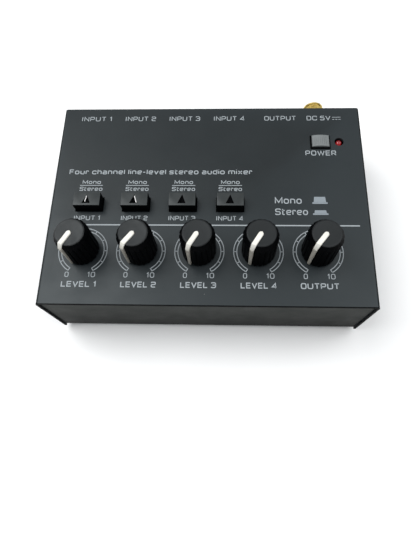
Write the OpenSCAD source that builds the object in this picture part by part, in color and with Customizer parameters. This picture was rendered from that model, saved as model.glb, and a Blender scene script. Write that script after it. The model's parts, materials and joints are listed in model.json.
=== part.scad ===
// Compact four channel line mixer: a folded steel housing with five rotary level controls, four
// mono/stereo push switches, a power switch with its lamp, five 6.35 mm jacks and a DC inlet.
// Millimetres. The origin is the centre of the housing on the plane that the feet stand on.
// +X is to the operator's right, +Y to the rear and +Z up.

/* [Housing] */
// Width of the housing
body_w = 138.2; // [137.6:0.1:139]
// Depth of the housing, front to back
body_d = 96.4; // [96:0.1:97.2]
// Height of the housing without its feet
body_h = 36; // [35.6:0.1:37]
// Thickness of the folded sheet steel
sheet_t = 1; // [0.9:0.05:1.1]
// Outside radius of the folds
fold_r = 1.6; // [1.4:0.1:1.8]
// How far the front and rear panels stand behind the edges of the top
panel_recess = 0.6; // [0.4:0.1:0.8]
// Clearance between the cover and the chassis
shell_gap = 0.3; // [0.2:0.05:0.4]

/* [Feet and screws] */
// Height of a rubber foot
foot_h = 2.8; // [2.4:0.1:3.2]
// Diameter of a rubber foot where it meets the chassis
foot_d = 10; // [9:0.5:11]
// Distance from the housing's centre to a foot, across and along
foot_at = [60, 40]; // [40:0.5:60]
// Diameter of a machine screw's shank
screw_d = 3; // [2.9:0.1:3]
// Length of a machine screw's shank
screw_l = 6; // [5:0.5:6]

/* [Level controls] */
// Distance between neighbouring knobs
knob_pitch = 24.5; // [24:0.1:25]
// Place of the leftmost knob across the top
knob_x0 = -52; // [-52.5:0.1:-51.5]
// Place of the row of knobs along the top
knob_y = -24.4; // [-26:0.1:-23]
// Diameter of a knob's base
knob_d = 14.2; // [13.8:0.1:14.6]
// Height of a knob's face above the top
knob_rise = 17.5; // [16.8:0.1:18]
// Number of grooves around a knob
knob_flutes = 20; // [12:1:24]
// Diameter of a level control's shaft
shaft_d = 6; // [5.9:0.05:6]
// Radial running gap between a shaft and its bushing
run_gap = 0.04; // [0.02:0.01:0.08]
// Angle at which a knob points to its lowest mark, counted from +X
zero_angle = 239.5; // [236:0.5:242]
// How far each knob is turned up from its lowest mark
knob_turned = [0, 7, 0, 1, 7.5]; // [0:0.5:10]

/* [Push switches] */
// Distance between neighbouring mono/stereo buttons
mono_pitch = 20.4; // [20:0.05:20.5]
// Place of the leftmost mono/stereo button across the top
mono_x0 = -51.5; // [-52:0.1:-51]
// Place of the row of mono/stereo buttons along the top
mono_y = -2.8; // [-3.5:0.1:-2]
// Length, width and height above the top of a mono/stereo button
mono_size = [11.4, 6.2, 5.1]; // [5:0.1:12]
// Travel of a mono/stereo button
mono_travel = 2.5; // [2:0.1:2.5]
// Place of the power button on the top
power_at = [50.1, 29.2]; // [29:0.1:51]
// Length, width and height above the top of the power button
power_size = [7.8, 6, 1.8]; // [1.4:0.1:8.2]

/* [Sockets and lamp] */
// Distance between neighbouring input jacks
jack_pitch = 20.7; // [20:0.1:21]
// Place of the first input jack across the rear panel
jack_x0 = -53.2; // [-53.5:0.1:-52]
// Place of the output jack across the rear panel
output_x = 32.5; // [32:0.1:33]
// Depth of the sockets' axes below the top
axis_drop = 12.5; // [12.2:0.1:12.8]
// Diameter of a jack's bore
jack_bore_d = 6.5; // [6.45:0.05:6.6]
// Place of the DC inlet across the rear panel
dc_x = 50.7; // [50:0.1:51]
// Diameter of the knurled brass collar around the DC inlet
collar_d = 9.6; // [9.2:0.1:10.2]
// Reach of the collar behind the rear panel
collar_l = 11.2; // [10.8:0.1:12]
// Place of the power lamp on the top
lamp_at = [58.6, 29.5]; // [29:0.1:59]
// Diameter of the power lamp
lamp_d = 3; // [2.9:0.1:3.1]

/* [Hidden] */
$fn = 48;
eps = 0.01;
face_gap = 0.05;
level_count = 5;
mono_count = 4;

// Heights of the main faces
top_z = foot_h + body_h;
under_z = top_z - sheet_t;
axis_z = top_z - axis_drop;
board_t = 1.6;
board_top = axis_z - 8;
board_size = [130, 88];

// Outer faces of the front and rear panels, and the chassis inside the cover
panel_y = body_d / 2 - panel_recess;
inner_y = panel_y - sheet_t;
chassis_w = body_w - 2 * sheet_t - 2 * shell_gap;
chassis_h = body_h - sheet_t - shell_gap;

// Side tabs that the cover is screwed to
tab_y = 30;
tab_size = [sheet_t, 12, 9];
tab_screw_z = foot_h + 6.4;
clear_r = screw_d / 2 + 0.2;
thread_r = screw_d / 2 + face_gap;

// Screws with pan heads, and the board's pillars
head_r = 2.7;
head_h = 1.7;
pillar_af = 5.5;
pillars = [[-48, -38], [48, -38], [-60.5, 12], [60.5, 12]];

// Level controls: body, bushing, shaft and the wafers that turn inside
pot_size = [9.6, 11.4, 11.5];
bushing_d = 7;
bushing_top = board_top + 16.5;
cavity_r = 4.3;
cavity_z = [board_top + 1.2, board_top + 10.5];
wafer_r = 3.9;
wafer_h = 1;
shaft_z = [board_top + 2, top_z + 11];
shaft_flat_z = top_z + 2;
shaft_flat_x = shaft_d / 2 - 1.5;
shaft_hole_d = 7.8;

// Knob and its pointer
knob_z = top_z + 0.6;
knob_top = top_z + knob_rise;
face_r = knob_d / 2 - 1.45;
side_top_r = knob_d / 2 - 0.1;
shoulder_h = 2.2;
hub_r = 4.4;
skirt_t = 1.5;
skirt_h = 8;
flute_r = 0.7;
flute_at = knob_d / 2 + 0.15;
pointer_w = 2;
pointer_t = 1;
pointer_proud = 0.45;
pointer_start = 0.55;
pointer_foot_z = knob_z + 0.6;

// Push switches: body, plunger and spring
switch_w = 8.5;
switch_h = 9.5;
switch_floor = 1.5;
switch_lid = 1;
switch_room = 6;
stem_w = 3;
tail_w = 2;
collar_w = 5.4;
collar_h = 1.5;
flange_h = 1.2;
flange_rim = 1;
button_gap = 0.45;
power_button_gap = 0.65;
spring_r = 1.9;
wire_r = 0.2;
spring_turns = 4;
spring_steps = 14;
wire_sides = 6;
lid_under = board_top + switch_h - switch_lid;
spring_z = [board_top + switch_floor, lid_under - face_gap - collar_h];
power_travel = 1.6;
stop_gap = 0.15;
power_crown_r = 14;
lamp_gap = 0.55;

// Jacks
jack_size = [16, 28, 15];
nose_r = 4.5;
nose_tip = panel_y + 3.6;
washer_t = 0.6;
nut_t = 2.2;
nut_af = 11;
jack_bore_l = 10;
chamber = [12.4, 20, 11];
contact_t = 0.3;
contact_w = 3;

// DC inlet
dc_size = [9, 11.5, 13];
barrel_r = 3.8;
socket_r = 2.9;
socket_depth = 9.4;
dc_pin_r = 1;

function level_x(i) = knob_x0 + knob_pitch * i;
function level_angle(i) = zero_angle - knob_turned[i];
function mono_x(i) = mono_x0 + mono_pitch * i;
function jack_x(i) = i < mono_count ? jack_x0 + jack_pitch * i : output_x;

// ---- Shapes that repeat ----

// Outline of a channel's outside: round at its two upper corners, standing on y = 0
module fold_outline(w, h, r) {
    translate([-w / 2, 0])
        square([w, h - r]);
    translate([r - w / 2, 0])
        square([w - 2 * r, h]);
    for (side = [-1, 1])
        translate([side * (w / 2 - r), h - r])
            circle(r);
}

// Section of a folded channel that is open below
module channel_section(w, h) {
    difference() {
        fold_outline(w, h, fold_r);
        translate([0, -1])
            fold_outline(w - 2 * sheet_t, h - sheet_t + 1, fold_r - sheet_t);
    }
}

// Box that is centred on X and Y and stands on z = 0
module slab(size) {
    translate([-size[0] / 2, -size[1] / 2, 0])
        cube(size);
}

// Cylinder that runs along +Y from the origin
module rod_y(r, l) {
    rotate([-90, 0, 0])
        cylinder(r = r, h = l);
}

// Pan head machine screw: the shank points down from z = 0 and the head stands on it
module pan_screw() {
    difference() {
        union() {
            translate([0, 0, -screw_l])
                cylinder(d = screw_d, h = screw_l + eps);
            cylinder(r = head_r, h = head_h * 0.6);
            translate([0, 0, head_h * 0.6])
                cylinder(r1 = head_r, r2 = head_r * 0.7, h = head_h * 0.4);
        }
        for (turn = [0, 90])
            rotate([0, 0, turn])
                translate([0, 0, head_h - 1])
                    slab([0.7, 3, 2]);
    }
}

// Closed tube of a coil spring along +Z, from its rings of points
function coil_ring(k, rise) =
    let (
        turn = 360 * k / spring_steps,
        z = wire_r + rise * k / (spring_turns * spring_steps)
    )
    [for (s = [0:wire_sides - 1])
        let (a = 360 * s / wire_sides, reach = spring_r + wire_r * cos(a))
        [reach * cos(turn), reach * sin(turn), z + wire_r * sin(a)]];

module coil_spring(length) {
    rings = spring_turns * spring_steps;
    rise = length - 2 * wire_r;
    points = [for (k = [0:rings]) each coil_ring(k, rise)];
    sides = [for (k = [0:rings - 1], s = [0:wire_sides - 1])
        let (a = k * wire_sides + s, b = k * wire_sides + (s + 1) % wire_sides)
        [a, a + wire_sides, b + wire_sides, b]];
    near_end = [for (s = [0:wire_sides - 1]) s];
    far_end = [for (s = [wire_sides - 1:-1:0]) rings * wire_sides + s];
    polyhedron(points, concat(sides, [near_end, far_end]), convexity = 8);
}

// ---- Housing ----

// Folded cover: the top and both side walls
module top_cover() {
    color([0.23, 0.25, 0.26])
    difference() {
        translate([0, 0, foot_h])
            rotate([90, 0, 0])
                linear_extrude(body_d, center = true)
                    channel_section(body_w, body_h);
        for (i = [0:level_count - 1])
            translate([level_x(i), knob_y, under_z - 1])
                cylinder(d = shaft_hole_d, h = sheet_t + 2);
        for (i = [0:mono_count - 1])
            translate([mono_x(i), mono_y, under_z - 1])
                slab([mono_size[0] + 2 * button_gap, mono_size[1] + 2 * button_gap, sheet_t + 2]);
        translate([power_at[0], power_at[1], under_z - 1])
            slab([power_size[0] + 2 * power_button_gap, power_size[1] + 2 * power_button_gap, sheet_t + 2]);
        translate([lamp_at[0], lamp_at[1], under_z - 1])
            cylinder(d = lamp_d + 2 * lamp_gap, h = sheet_t + 2);
        for (y = [-tab_y, tab_y])
            translate([-body_w, y, tab_screw_z])
                rotate([0, 90, 0])
                    cylinder(r = clear_r, h = 2 * body_w);
    }
}

// Folded chassis: the floor, the front panel, the rear panel and four side tabs
module bottom_chassis() {
    color([0.34, 0.36, 0.36])
    difference() {
        union() {
            translate([0, 0, foot_h + chassis_h])
                mirror([0, 0, 1])
                    rotate([90, 0, 90])
                        linear_extrude(chassis_w, center = true)
                            channel_section(2 * panel_y, chassis_h);
            for (x = [-1, 1], y = [-tab_y, tab_y])
                translate([x * (chassis_w - tab_size[0]) / 2, y, foot_h + sheet_t - eps])
                    slab(tab_size);
        }
        for (y = [-tab_y, tab_y])
            translate([-body_w, y, tab_screw_z])
                rotate([0, 90, 0])
                    cylinder(r = thread_r, h = 2 * body_w);
        for (p = pillars)
            translate([p[0], p[1], foot_h - 1])
                cylinder(r = clear_r, h = sheet_t + 2);
        for (i = [0:mono_count])
            translate([jack_x(i), inner_y - 1, axis_z])
                rod_y(nose_r + 0.2, sheet_t + 2);
        translate([dc_x, inner_y - 1, axis_z])
            rod_y(barrel_r + 0.2, sheet_t + 2);
    }
}

// Four screws that hold the cover's side walls to the chassis tabs
module cover_screws() {
    color([0.16, 0.16, 0.17])
    for (side = [-1, 1], y = [-tab_y, tab_y])
        translate([side * body_w / 2, y, tab_screw_z])
            rotate([0, side * 90, 0])
                pan_screw();
}

// Four rubber feet under the corners of the chassis
module rubber_feet() {
    color([0.09, 0.09, 0.09])
    for (x = [-foot_at[0], foot_at[0]], y = [-foot_at[1], foot_at[1]])
        translate([x, y, 0])
            cylinder(d1 = foot_d - 1, d2 = foot_d, h = foot_h);
}

// ---- Circuit board ----

// Printed circuit board that carries every switch, control and socket
module main_board() {
    color([0.1, 0.35, 0.2])
    difference() {
        translate([0, 0, board_top - board_t])
            slab([board_size[0], board_size[1], board_t]);
        for (p = pillars)
            translate([p[0], p[1], board_top - board_t - 1])
                cylinder(r = clear_r, h = board_t + 2);
    }
}

// Four hexagonal brass pillars between the floor and the board
module board_pillars() {
    pillar_z = foot_h + sheet_t;
    pillar_h = board_top - board_t - pillar_z;
    color([0.78, 0.64, 0.32])
    for (p = pillars)
        translate([p[0], p[1], pillar_z])
            difference() {
                cylinder(d = pillar_af / cos(30), h = pillar_h, $fn = 6);
                translate([0, 0, -1])
                    cylinder(r = thread_r, h = pillar_h + 2, $fn = 48);
            }
}

// Eight screws: one into each end of each pillar
module board_screws() {
    color([0.7, 0.7, 0.72])
    for (p = pillars) {
        translate([p[0], p[1], board_top])
            pan_screw();
        translate([p[0], p[1], foot_h])
            mirror([0, 0, 1])
                pan_screw();
    }
}

// Three eight-pin amplifier chips in front of the input jacks
module op_amps() {
    color([0.12, 0.12, 0.13])
    for (x = [-40, -15, 10])
        translate([x, 10, board_top]) {
            translate([0, 0, 0.6])
                slab([9.3, 6.4, 3.2]);
            for (pin = [-1.5:1:1.5], side = [-1, 1])
                translate([pin * 2.54, side * 3.4, 0])
                    slab([0.5, 0.5, 2.2]);
        }
}

// Electrolytic capacitors: five small ones by the chips and a large one by the DC inlet
module capacitors() {
    small = [[-50, 10], [-27.5, 7], [-27.5, 13.5], [-2.5, 7], [-2.5, 13.5]];
    color([0.15, 0.2, 0.35]) {
        for (p = small)
            translate([p[0], p[1], board_top])
                cylinder(d = 5, h = 11);
        translate([32, 9, board_top])
            cylinder(d = 8, h = 12);
    }
}

// ---- Level controls ----

// Dual potentiometer body with its bushing, standing on the board
module level_pot(i) {
    color([0.3, 0.31, 0.33])
    translate([level_x(i), knob_y, 0])
        difference() {
            union() {
                translate([0, 0, board_top])
                    slab(pot_size);
                translate([0, 0, board_top])
                    cylinder(d = bushing_d, h = bushing_top - board_top);
                for (pin = [-1:1], z = [2.5, 7.5])
                    translate([pin * 2.5, -pot_size[1] / 2 - 0.4, board_top])
                        slab([0.8, 1, z]);
            }
            translate([0, 0, cavity_z[0]])
                cylinder(r = cavity_r, h = cavity_z[1] - cavity_z[0]);
            translate([0, 0, cavity_z[0]])
                cylinder(d = shaft_d + 2 * run_gap, h = bushing_top);
        }
}

// Shaft with a flat for the knob and the two wafers that wipe the tracks
module level_shaft(i) {
    color([0.75, 0.76, 0.78])
    translate([level_x(i), knob_y, 0])
        rotate([0, 0, level_angle(i)])
            difference() {
                union() {
                    translate([0, 0, shaft_z[0]])
                        cylinder(d = shaft_d, h = shaft_z[1] - shaft_z[0]);
                    for (rise = [1, 6])
                        translate([0, 0, shaft_z[0] + rise])
                            cylinder(r = wafer_r, h = wafer_h);
                }
                translate([shaft_flat_x, -shaft_d, shaft_flat_z])
                    cube([shaft_d, 2 * shaft_d, shaft_d * 3]);
            }
}

// Side view of the pointer: along the face, over the shoulder and down the side, grown by a gap
module pointer_profile(gap) {
    inner = pointer_start - gap;
    lift = pointer_proud;
    low = pointer_foot_z - gap;
    polygon([
        [inner, knob_top - pointer_t - gap],
        [inner, knob_top + lift],
        [face_r + 0.1, knob_top + lift],
        [side_top_r + lift, knob_top - shoulder_h + 0.2],
        [knob_d / 2 + lift - 0.1, low],
        [knob_d / 2 - pointer_t - gap, low],
        [face_r - gap, knob_top - pointer_t - gap]
    ]);
}

// Front view of the pointer: full width over the shoulder, narrow at its foot
module pointer_front(gap) {
    top_half = pointer_w / 2 + gap;
    foot_half = pointer_w * 0.32 + gap;
    polygon([
        [-foot_half, pointer_foot_z - 1],
        [foot_half, pointer_foot_z - 1],
        [top_half, knob_top - 5],
        [top_half, knob_top + 2],
        [-top_half, knob_top + 2],
        [-top_half, knob_top - 5]
    ]);
}

// The pointer's solid along +X, grown by a gap to make its groove
module pointer_bar(gap) {
    intersection() {
        translate([0, knob_d / 2, 0])
            rotate([90, 0, 0])
                linear_extrude(knob_d)
                    pointer_profile(gap);
        rotate([90, 0, 90])
            linear_extrude(knob_d)
                pointer_front(gap);
    }
    translate([pointer_start - gap, 0, knob_top - pointer_t - gap])
        cylinder(r = pointer_w / 2 + gap, h = pointer_t + pointer_proud + gap);
}

// Fluted knob with a hollow skirt around the hub that grips the shaft
module level_knob(i) {
    color([0.1, 0.1, 0.11])
    translate([level_x(i), knob_y, 0])
        rotate([0, 0, level_angle(i)])
            difference() {
                union() {
                    translate([0, 0, knob_z])
                        cylinder(d1 = knob_d, r2 = side_top_r, h = knob_top - shoulder_h - knob_z);
                    translate([0, 0, knob_top - shoulder_h])
                        cylinder(r1 = side_top_r, r2 = face_r, h = shoulder_h);
                }
                for (k = [0:knob_flutes - 1])
                    rotate([0, 0, (k + 0.5) * 360 / knob_flutes])
                        translate([flute_at, 0, knob_z - 1])
                            cylinder(r = flute_r, h = knob_top - knob_z - 1, $fn = 16);
                translate([0, 0, knob_z - 1])
                    difference() {
                        cylinder(r = knob_d / 2 - skirt_t, h = skirt_h + 1);
                        cylinder(r = hub_r, h = skirt_h + 2);
                    }
                translate([0, 0, knob_z - 1])
                    difference() {
                        cylinder(d = shaft_d + 2 * face_gap, h = shaft_z[1] - knob_z + 1.3);
                        translate([shaft_flat_x + face_gap, -shaft_d, shaft_flat_z + face_gap - knob_z + 1])
                            cube([shaft_d, 2 * shaft_d, shaft_d * 3]);
                    }
                pointer_bar(face_gap);
            }
}

// White pointer let into the knob's face and side
module knob_pointer(i) {
    color([0.93, 0.92, 0.86])
    translate([level_x(i), knob_y, 0])
        rotate([0, 0, level_angle(i)])
            pointer_bar(0);
}

// ---- Push switches ----

// Switch body with a square chamber for the plunger's collar and the spring
module switch_body(at) {
    color([0.14, 0.14, 0.15])
    translate([at[0], at[1], board_top])
        difference() {
            slab([switch_w, switch_w, switch_h]);
            translate([0, 0, switch_floor])
                slab([switch_room, switch_room, switch_h - switch_floor - switch_lid]);
            translate([0, 0, switch_floor])
                slab([stem_w + 0.3, stem_w + 0.3, switch_h]);
        }
}

// Plunger: a tail that ends the travel inside the spring, a collar under the lid and a stem up into
// the button
module switch_plunger(at, stem_top, travel) {
    tail_l = spring_z[1] - spring_z[0] - travel - stop_gap;
    color([0.85, 0.84, 0.8])
    translate([at[0], at[1], 0]) {
        translate([0, 0, spring_z[1] - tail_l])
            slab([tail_w, tail_w, tail_l + eps]);
        translate([0, 0, spring_z[1]])
            slab([collar_w, collar_w, collar_h]);
        translate([0, 0, spring_z[1] + collar_h - eps])
            slab([stem_w, stem_w, stem_top - spring_z[1] - collar_h]);
    }
}

// Return spring between the switch's floor and the plunger's collar
module switch_spring(at) {
    color([0.7, 0.7, 0.72])
    translate([at[0], at[1], spring_z[0] + eps])
        coil_spring(spring_z[1] - spring_z[0] - 2 * eps);
}

// Retaining flange of a button under the cover, with the socket for its stem cut out later
module button_flange(size, z) {
    translate([0, 0, z])
        slab([size[0] + 2 * flange_rim, size[1] + 2 * flange_rim, flange_h]);
}

// Mono/stereo button: bevelled edges and a triangle sunk into its face, pointing to the rear
module mono_button(i) {
    bottom = under_z - 2.4;
    crown = top_z + mono_size[2];
    bevel = 0.3;
    half_l = mono_size[0] / 2;
    half_w = mono_size[1] / 2;
    color([0.11, 0.11, 0.12])
    translate([mono_x(i), mono_y, 0])
        difference() {
            union() {
                button_flange(mono_size, bottom);
                intersection() {
                    translate([0, half_w, 0])
                        rotate([90, 0, 0])
                            linear_extrude(mono_size[1])
                                bevelled_side(half_l, bottom, crown, bevel);
                    translate([-half_l, 0, 0])
                        rotate([90, 0, 90])
                            linear_extrude(mono_size[0])
                                bevelled_side(half_w, bottom, crown, bevel);
                }
            }
            translate([0, 0, bottom - 1])
                slab([stem_w + 2 * face_gap, stem_w + 2 * face_gap, 5]);
            translate([0, -0.2, crown - 0.45])
                linear_extrude(1)
                    polygon([[-1.35, -1.6], [1.35, -1.6], [0, 1.6]]);
        }
}

// Side view of a button from its bottom to its bevelled crown
module bevelled_side(half, bottom, crown, bevel) {
    polygon([
        [-half, bottom],
        [half, bottom],
        [half, crown - bevel],
        [half - bevel, crown],
        [bevel - half, crown],
        [-half, crown - bevel]
    ]);
}

// Power button with a face that is crowned from side to side
module power_button() {
    bottom = under_z - 2.4;
    crown = top_z + power_size[2];
    color([0.5, 0.52, 0.52])
    translate([power_at[0], power_at[1], 0])
        difference() {
            union() {
                button_flange(power_size, bottom);
                intersection() {
                    translate([0, 0, bottom])
                        slab([power_size[0], power_size[1], crown - bottom]);
                    translate([0, -power_size[1], crown - power_crown_r])
                        rod_y(power_crown_r, 2 * power_size[1]);
                }
            }
            translate([0, 0, bottom - 1])
                slab([stem_w + 2 * face_gap, stem_w + 2 * face_gap, 4]);
        }
}

// Power lamp: a round-nosed lens with a rim and two wires down to the board
module power_lamp() {
    lens_r = lamp_d / 2;
    nose_z = top_z - lens_r;
    rim_z = nose_z - 4.2;
    color([0.75, 0.08, 0.06])
    translate([lamp_at[0], lamp_at[1], 0]) {
        translate([0, 0, rim_z])
            cylinder(r = lens_r, h = nose_z - rim_z);
        translate([0, 0, nose_z])
            sphere(lens_r);
        translate([0, 0, rim_z])
            cylinder(r = lens_r + 0.4, h = 1);
        for (x = [-1.27, 1.27])
            translate([x * 0.8, 0, board_top])
                slab([0.5, 0.5, rim_z - board_top + eps]);
    }
}

// ---- Sockets ----

// Jack: a box on the board with a round nose through the rear panel and a contact chamber
module jack(x) {
    color([0.12, 0.12, 0.13])
    translate([x, 0, 0])
        difference() {
            union() {
                translate([0, inner_y - jack_size[1] / 2, board_top])
                    slab(jack_size);
                translate([0, inner_y - 1, axis_z])
                    rod_y(nose_r, nose_tip - inner_y + 1);
            }
            translate([0, nose_tip - jack_bore_l, axis_z])
                rod_y(jack_bore_d / 2, jack_bore_l + 1);
            translate([0, nose_tip - jack_bore_l - chamber[1] / 2 + eps, axis_z - 5])
                slab(chamber);
        }
}

// Contact springs in each jack: one above, one beside and one below the plug's path
module jack_contacts() {
    reach = jack_bore_d / 2 + 0.25;
    back = nose_tip - jack_bore_l - chamber[1] + 1.5;
    floor_z = axis_z - 5;
    color([0.8, 0.72, 0.45])
    for (i = [0:mono_count])
        translate([jack_x(i), 0, 0]) {
            translate([-contact_w / 2, back, axis_z + reach])
                cube([contact_w + 3.5, 14, contact_t]);
            translate([contact_w / 2 + 3.2, back, floor_z])
                cube([contact_t, 2, reach + 5]);
            translate([-reach - contact_t, back + 2, floor_z])
                cube([contact_t, 12, 5 + contact_w / 2]);
            translate([-contact_w / 2, back + 8, axis_z - reach - contact_t])
                cube([contact_w, 8, contact_t]);
            translate([-contact_w / 2, back + 8, floor_z])
                cube([contact_w, contact_t, 5 - reach - contact_t / 2]);
        }
}

// Flat washers under the jack nuts
module jack_washers() {
    color([0.75, 0.75, 0.77])
    for (i = [0:mono_count])
        translate([jack_x(i), panel_y, axis_z])
            difference() {
                rod_y(6.2, washer_t);
                translate([0, -1, 0])
                    rod_y(nose_r + face_gap, washer_t + 2);
            }
}

// Hexagonal nuts that clamp the jacks to the rear panel
module jack_nuts() {
    color([0.75, 0.75, 0.77])
    for (i = [0:mono_count])
        translate([jack_x(i), panel_y + washer_t, axis_z])
            difference() {
                rotate([-90, 0, 0])
                    cylinder(d = nut_af / cos(30), h = nut_t, $fn = 6);
                translate([0, -1, 0])
                    rod_y(nose_r + face_gap, nut_t + 2);
            }
}

// DC inlet: a moulded body with a barrel through the rear panel and a centre pin in its socket
module dc_inlet() {
    barrel_tip = panel_y + collar_l - 0.6;
    color([0.1, 0.1, 0.1])
    translate([dc_x, 0, 0]) {
        difference() {
            union() {
                translate([0, inner_y - dc_size[1] / 2, board_top])
                    slab(dc_size);
                translate([0, inner_y - 1, axis_z])
                    rod_y(barrel_r, barrel_tip - inner_y + 1);
            }
            translate([0, barrel_tip - socket_depth, axis_z])
                rod_y(socket_r, socket_depth + 1);
        }
        translate([0, barrel_tip - socket_depth - 1, axis_z])
            rod_y(dc_pin_r, socket_depth);
    }
}

// Knurled brass collar around the inlet's barrel
module dc_collar() {
    color([0.85, 0.65, 0.25])
    translate([dc_x, panel_y, axis_z])
        difference() {
            rod_y(collar_d / 2, collar_l);
            translate([0, -1, 0])
                rod_y(barrel_r + face_gap, collar_l + 2);
        }
}

// ---- What is drawn ----

top_cover();
bottom_chassis();
cover_screws();
rubber_feet();
main_board();
board_pillars();
board_screws();
op_amps();
capacitors();
for (i = [0:level_count - 1]) {
    level_pot(i);
    level_shaft(i);
    level_knob(i);
    knob_pointer(i);
}
for (i = [0:mono_count - 1]) {
    at = [mono_x(i), mono_y];
    switch_body(at);
    switch_plunger(at, under_z + 1.4, mono_travel);
    mono_button(i);
    switch_spring(at);
    jack(jack_x(i));
}
switch_body(power_at);  // power_switch
switch_plunger(power_at, under_z + 0.4, power_travel);  // power_plunger
power_button();
switch_spring(power_at);  // power_spring
power_lamp();
jack(output_x);  // output_jack
jack_contacts();
jack_washers();
jack_nuts();
dc_inlet();
dc_collar();
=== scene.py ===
"""Looks of a compact four channel line mixer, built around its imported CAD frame.

Sizes are in millimetres; MM turns them into Blender's metres.
The frame has +X to the operator's right, +Y to the rear and +Z up.
"""

import json
import math

import bmesh
import bpy
from mathutils import Matrix, Vector


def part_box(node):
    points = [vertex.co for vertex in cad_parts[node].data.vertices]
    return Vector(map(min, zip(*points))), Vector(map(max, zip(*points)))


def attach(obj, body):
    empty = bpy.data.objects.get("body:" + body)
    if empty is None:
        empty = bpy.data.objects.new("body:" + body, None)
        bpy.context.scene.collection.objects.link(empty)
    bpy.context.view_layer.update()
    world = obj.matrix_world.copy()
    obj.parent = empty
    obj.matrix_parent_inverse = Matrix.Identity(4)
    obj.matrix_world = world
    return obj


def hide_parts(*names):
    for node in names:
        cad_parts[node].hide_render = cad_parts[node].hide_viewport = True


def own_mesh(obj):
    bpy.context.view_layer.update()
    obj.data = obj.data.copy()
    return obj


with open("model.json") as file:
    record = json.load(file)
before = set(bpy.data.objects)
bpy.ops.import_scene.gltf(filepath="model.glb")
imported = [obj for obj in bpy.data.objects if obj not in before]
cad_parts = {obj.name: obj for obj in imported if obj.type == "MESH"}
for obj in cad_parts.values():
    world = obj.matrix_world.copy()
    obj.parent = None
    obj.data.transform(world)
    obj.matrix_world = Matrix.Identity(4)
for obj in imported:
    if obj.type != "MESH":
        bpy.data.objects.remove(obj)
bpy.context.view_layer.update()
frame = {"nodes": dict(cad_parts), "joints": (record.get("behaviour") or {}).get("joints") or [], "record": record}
nodes = frame["nodes"]
scene = bpy.context.scene
MM = 0.001


# ---- Places and sizes that come from the frame ----

def span(node):
    """Lowest and highest corner of a CAD node, in millimetres."""
    low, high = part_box(node)
    return low / MM, high / MM


def middle(node):
    """Centre of a CAD node's box, in millimetres."""
    low, high = span(node)
    return (low + high) / 2


LEVELS = range(1, 6)
MONOS = range(1, 5)
LEVEL_BODIES = [f"level_{i}_control" for i in MONOS] + ["output_level_control"]
PANEL_Z = span("top_cover")[1].z
# Angle of a pointer at its 0 mark, from +X, and how far above that mark each control rests
ZERO_ANGLE = 239.5
TURNED_UP = {j["child"]: -j["range_deg"][0] for j in frame["joints"] if "range_deg" in j}


# ---- Mesh helpers ----

def finish_mesh(name, bm, body, slot, sharp_degrees=35, look=None):
    """Turns a bmesh in millimetres into a shaded object on a body, in its slot's look or another."""
    bmesh.ops.scale(bm, vec=(MM, MM, MM), verts=bm.verts)
    bmesh.ops.recalc_face_normals(bm, faces=bm.faces)
    limit = math.radians(sharp_degrees)
    for face in bm.faces:
        face.smooth = True
    for edge in bm.edges:
        if len(edge.link_faces) == 2:
            edge.smooth = edge.calc_face_angle(0) < limit
    mesh = bpy.data.meshes.new(name)
    bm.to_mesh(mesh)
    bm.free()
    piece = bpy.data.objects.new(name, mesh)
    scene.collection.objects.link(piece)
    mesh.materials.append(LOOKS[look or slot])
    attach(piece, body)
    return piece


def top_look(piece, look, height, upward):
    """Puts a second look on the faces above a height whose normal's z is more than upward."""
    piece.data.materials.append(LOOKS[look])
    for face in piece.data.polygons:
        if face.center.z > height * MM and face.normal.z > upward:
            face.material_index = 1


def ring_faces(bm, first, second):
    """Quads between two closed rings of vertices."""
    count = len(first)
    for k in range(count):
        following = (k + 1) % count
        bm.faces.new((first[k], first[following], second[following], second[k]))


def turned(bm, profile, columns, place=Matrix.Identity(4), groove=None, hollow=False):
    """Closed solid turned around +Z from a profile of (radius, height, depth).

    The profile runs from the axis out and back, or all round the section of a hollow solid.
    groove(angle) is how far the surface sinks at that angle where depth is 1."""
    rings = []
    for radius, height, depth in profile:
        if radius < 1e-6:
            rings.append([bm.verts.new(place @ Vector((0, 0, height)))])
            continue
        ring = []
        for k in range(columns):
            angle = 2 * math.pi * k / columns
            r = radius - (depth * groove(angle) if groove else 0)
            ring.append(bm.verts.new(place @ Vector((r * math.cos(angle), r * math.sin(angle), height))))
        rings.append(ring)
    for first, second in zip(rings, rings[1:] + rings[:1] if hollow else rings[1:]):
        if len(first) == 1 or len(second) == 1:
            tip, ring = (first[0], second) if len(first) == 1 else (second[0], first)
            for k in range(columns):
                bm.faces.new((tip, ring[k], ring[(k + 1) % columns]))
        else:
            ring_faces(bm, first, second)


def swept(bm, sections):
    """Closed solid through a list of equal closed sections, capped at both ends."""
    rings = [[bm.verts.new(point) for point in section] for section in sections]
    for first, second in zip(rings, rings[1:]):
        ring_faces(bm, first, second)
    bm.faces.new(rings[0])
    bm.faces.new(reversed(rings[-1]))


def prism(bm, outline, low, high):
    """Flat plate with an outline in x and y, from height low to height high."""
    swept(bm, [[Vector((x, y, z)) for x, y in outline] for z in (low, high)])


# ---- Materials ----

# Each look's material by the look's name, which is also its slot's name where it dresses CAD nodes
LOOKS = {}


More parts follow.
